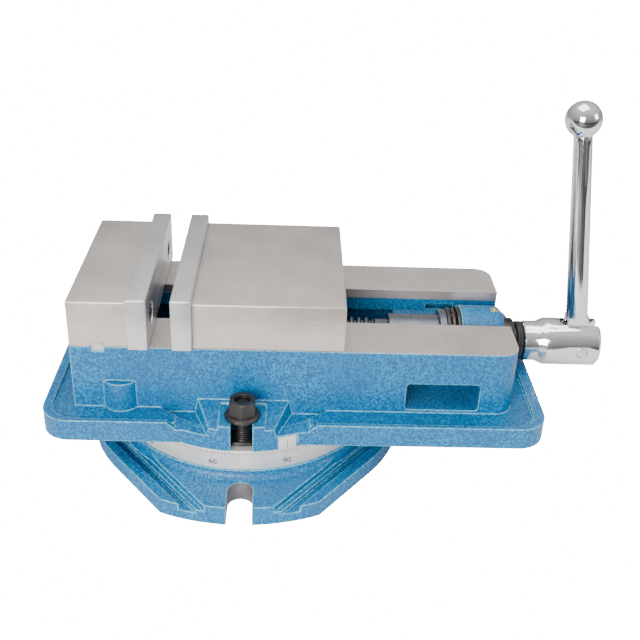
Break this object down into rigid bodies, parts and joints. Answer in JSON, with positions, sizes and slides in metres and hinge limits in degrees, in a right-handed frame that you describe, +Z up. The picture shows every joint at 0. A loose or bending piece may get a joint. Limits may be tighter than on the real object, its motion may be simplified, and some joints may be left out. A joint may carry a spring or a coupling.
{
  "type": "machine vise",
  "caption": "Milling vise on a graduated swivel base: ground jaws with plates, lead screw, folding crank and flanged clamp nuts; the jaw, base, crank and clamps move.",
  "frame": {"origin": "on the swivel axis, in the plane of the base's underside", "axes": "+Z up along the swivel axis, +X along the lead screw towards the crank, -Y to the front clamp"},
  "size_m": [0.4391, 0.2878, 0.2802],
  "materials": {
    "blue_paint": "blue hammer-finish enamel over cast iron",
    "ground_iron": "surface ground",
    "hardened_steel": "hardened and ground",
    "black_oxide": "black oxide",
    "bronze": "machined bronze",
    "brass_oiler": "turned brass",
    "cast_nut": "machined ductile iron",
    "screw_steel": "turned steel",
    "black_rubber": "moulded",
    "chrome": "polished"
  },
  "bodies": {
    "swivel_base": {"swivel_base": "blue_paint"},
    "vise_body": {"vise_body": "blue_paint", "fixed_jaw": "ground_iron", "fixed_jaw_plate": "hardened_steel", "fixed_jaw_plate_screws": "black_oxide", "fixed_jaw_key": "hardened_steel", "fixed_jaw_bolts": "black_oxide", "screw_bush": "bronze", "thrust_race_body": "black_oxide", "thrust_cage": "brass_oiler", "thrust_balls": "hardened_steel", "oil_fitting": "brass_oiler", "oil_fitting_ball": "hardened_steel"},
    "moving_jaw": {"moving_jaw": "ground_iron", "moving_jaw_plate": "hardened_steel", "moving_jaw_plate_screws": "black_oxide", "jaw_nut": "cast_nut", "jaw_half_ball": "hardened_steel", "nut_set_screw": "black_oxide"},
    "lead_screw": {"lead_screw": "screw_steel", "thrust_race_screw": "black_oxide", "lock_collar": "black_oxide", "lock_collar_screw": "black_oxide", "crank_stop_ring": "black_rubber"},
    "crank_hub": {"crank_hub": "chrome", "lever_pin": "hardened_steel"},
    "crank_lever": {"crank_lever": "chrome", "lever_ball": "chrome"},
    "front_t_bolt": {"front_t_bolt": "black_oxide"},
    "front_clamp_nut": {"front_clamp_nut": "black_oxide"},
    "rear_t_bolt": {"rear_t_bolt": "black_oxide"},
    "rear_clamp_nut": {"rear_clamp_nut": "black_oxide"}
  },
  "joints": [
    {"name": "swivel", "type": "hinge", "parent": "swivel_base", "child": "vise_body", "pos_m": [0, 0, 0.0389], "axis": [0, 0, 1], "continuous": true},
    {"name": "screw_turn", "type": "hinge", "parent": "vise_body", "child": "lead_screw", "pos_m": [0.19, 0, 0.0782], "axis": [1, 0, 0], "range_deg": [-1026, 5850]},
    {"name": "jaw_slide", "type": "slide", "parent": "vise_body", "child": "moving_jaw", "axis": [1, 0, 0], "range_m": [-0.01711, 0.09751]},
    {"name": "crank_pull_off", "type": "slide", "parent": "lead_screw", "child": "crank_hub", "axis": [1, 0, 0], "range_m": [0, 0.03]},
    {"name": "lever_fold", "type": "hinge", "parent": "crank_hub", "child": "crank_lever", "pos_m": [0.2716, 0, 0.0782], "axis": [0, 1, 0], "range_deg": [0, 97.9]},
    {"name": "front_nut_turn", "type": "hinge", "parent": "vise_body", "child": "front_clamp_nut", "pos_m": [0, -0.092, 0.0608], "axis": [0, 0, 1], "range_deg": [-6.5, 361]},
    {"name": "front_bolt_drop", "type": "slide", "parent": "vise_body", "child": "front_t_bolt", "axis": [0, 0, 1], "range_m": [-0.00175, 0.00003]},
    {"name": "rear_nut_turn", "type": "hinge", "parent": "vise_body", "child": "rear_clamp_nut", "pos_m": [0, 0.092, 0.0608], "axis": [0, 0, 1], "range_deg": [-6.5, 361]},
    {"name": "rear_bolt_drop", "type": "slide", "parent": "vise_body", "child": "rear_t_bolt", "axis": [0, 0, 1], "range_m": [-0.00175, 0.00003]}
  ],
  "couplings": [
    {"joint": "jaw_slide", "follows": "screw_turn", "m_per_rad": 0.00095493},
    {"joint": "front_nut_turn", "follows": "front_bolt_drop", "rad_per_m": -3590.4},
    {"joint": "rear_nut_turn", "follows": "rear_bolt_drop", "rad_per_m": -3590.4}
  ]
}
